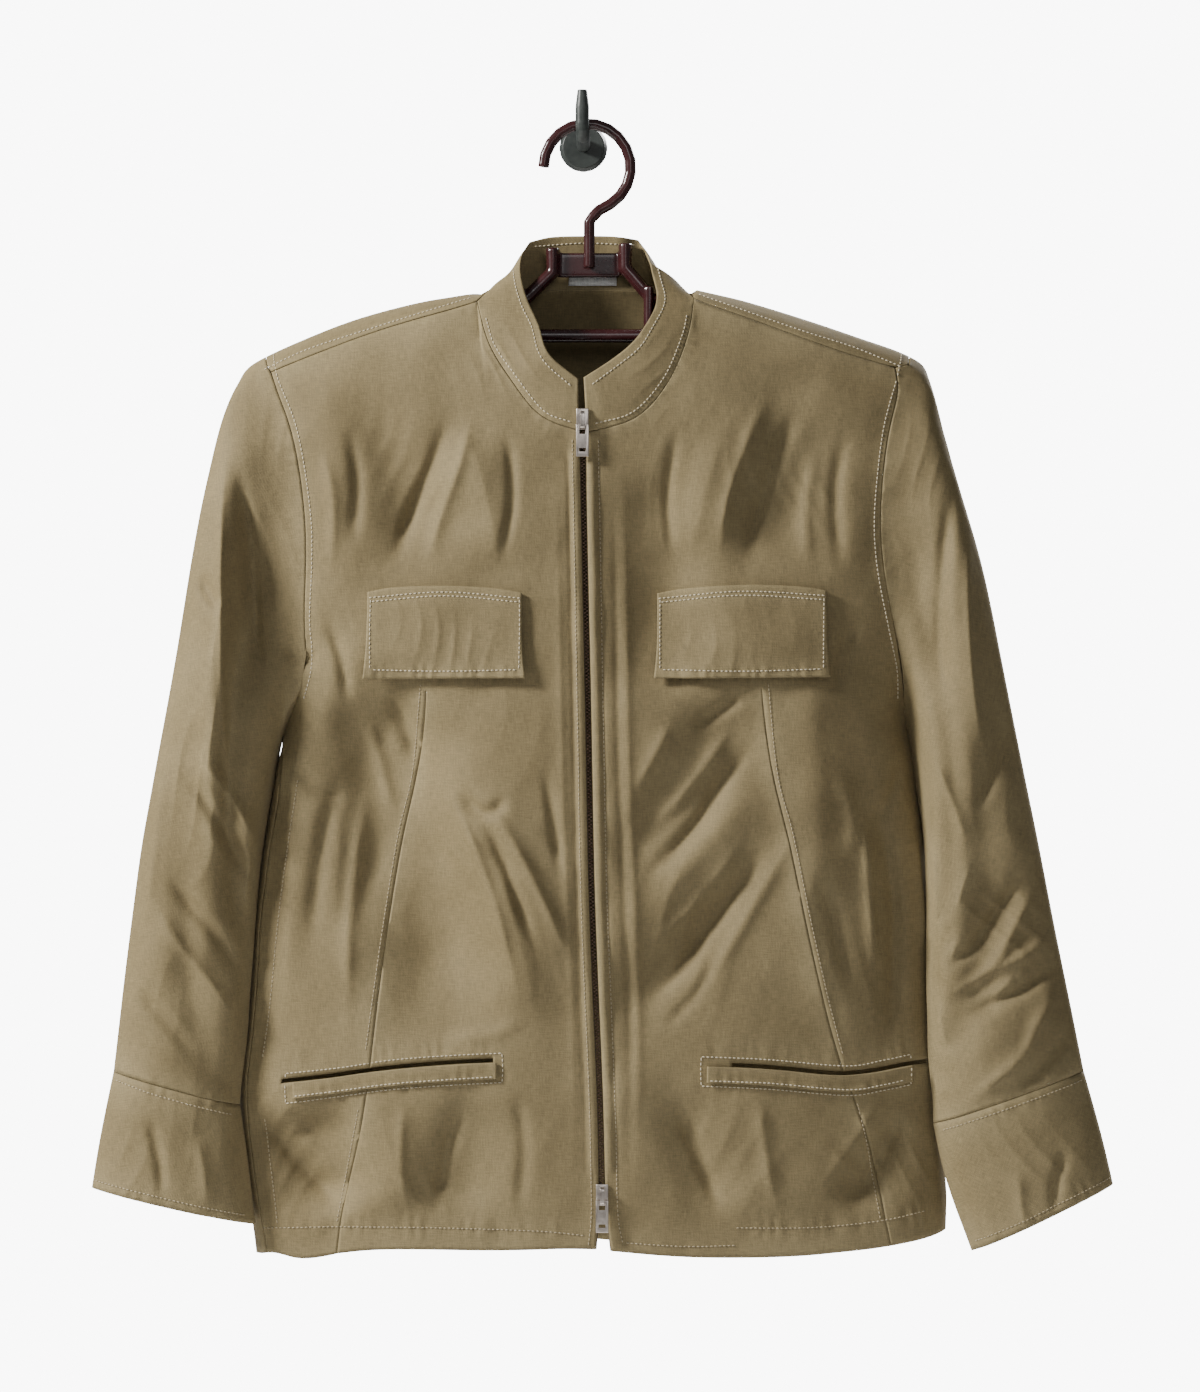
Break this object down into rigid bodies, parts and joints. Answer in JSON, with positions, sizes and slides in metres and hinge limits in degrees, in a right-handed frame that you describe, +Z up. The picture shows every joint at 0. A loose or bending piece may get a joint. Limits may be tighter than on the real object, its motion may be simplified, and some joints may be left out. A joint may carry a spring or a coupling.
{
  "type": "zip jacket on a hanger and wall hook",
  "caption": "Long-sleeved zip jacket in khaki twill with stand collar, chest flaps and welt pockets, hanging on a plastic hanger from a wall hook.",
  "frame": {"origin": "middle of the wall hook's flat back, on the wall", "axes": "+Z up; the jacket's front faces -Y; +X is the viewer's right; the wall is the plane y = 0"},
  "size_m": [0.7001, 0.1207, 0.8014],
  "materials": {
    "twill": "matte",
    "label": "matte",
    "zip_tape": "matte",
    "zip_teeth": "satin",
    "zip_metal": "satin",
    "hanger_plastic": "gloss",
    "hook_plastic": "satin"
  },
  "bodies": {
    "garment": {"front_left": "twill", "front_right": "twill", "back": "twill", "sleeve_left_front": "twill", "sleeve_left_back": "twill", "sleeve_right_front": "twill", "sleeve_right_back": "twill", "cuff_left": "twill", "cuff_right": "twill", "collar": "twill", "flap_left": "twill", "flap_right": "twill", "welt_left": "twill", "welt_right": "twill", "neck_label": "label", "zip_tape_left": "zip_tape", "zip_tape_right": "zip_tape", "zip_chain": "zip_teeth", "slider_upper": "zip_metal", "slider_lower": "zip_metal", "hanger_hook": "hanger_plastic", "hanger_body": "hanger_plastic", "wall_hook_base": "hook_plastic", "wall_hook_prong": "hook_plastic"},
    "upper_tab": {"tab_upper": "zip_metal"},
    "lower_tab": {"tab_lower": "zip_metal"}
  },
  "joints": [
    {"name": "upper_tab_swing", "type": "hinge", "parent": "garment", "child": "upper_tab", "pos_m": [-0.00037, -0.11263, -0.1987], "axis": [-1, 0, 0], "range_deg": [0, 140]},
    {"name": "lower_tab_swing", "type": "hinge", "parent": "garment", "child": "lower_tab", "pos_m": [0.01298, -0.11306, -0.7262], "axis": [-1, 0, 0], "range_deg": [0, 140]}
  ]
}
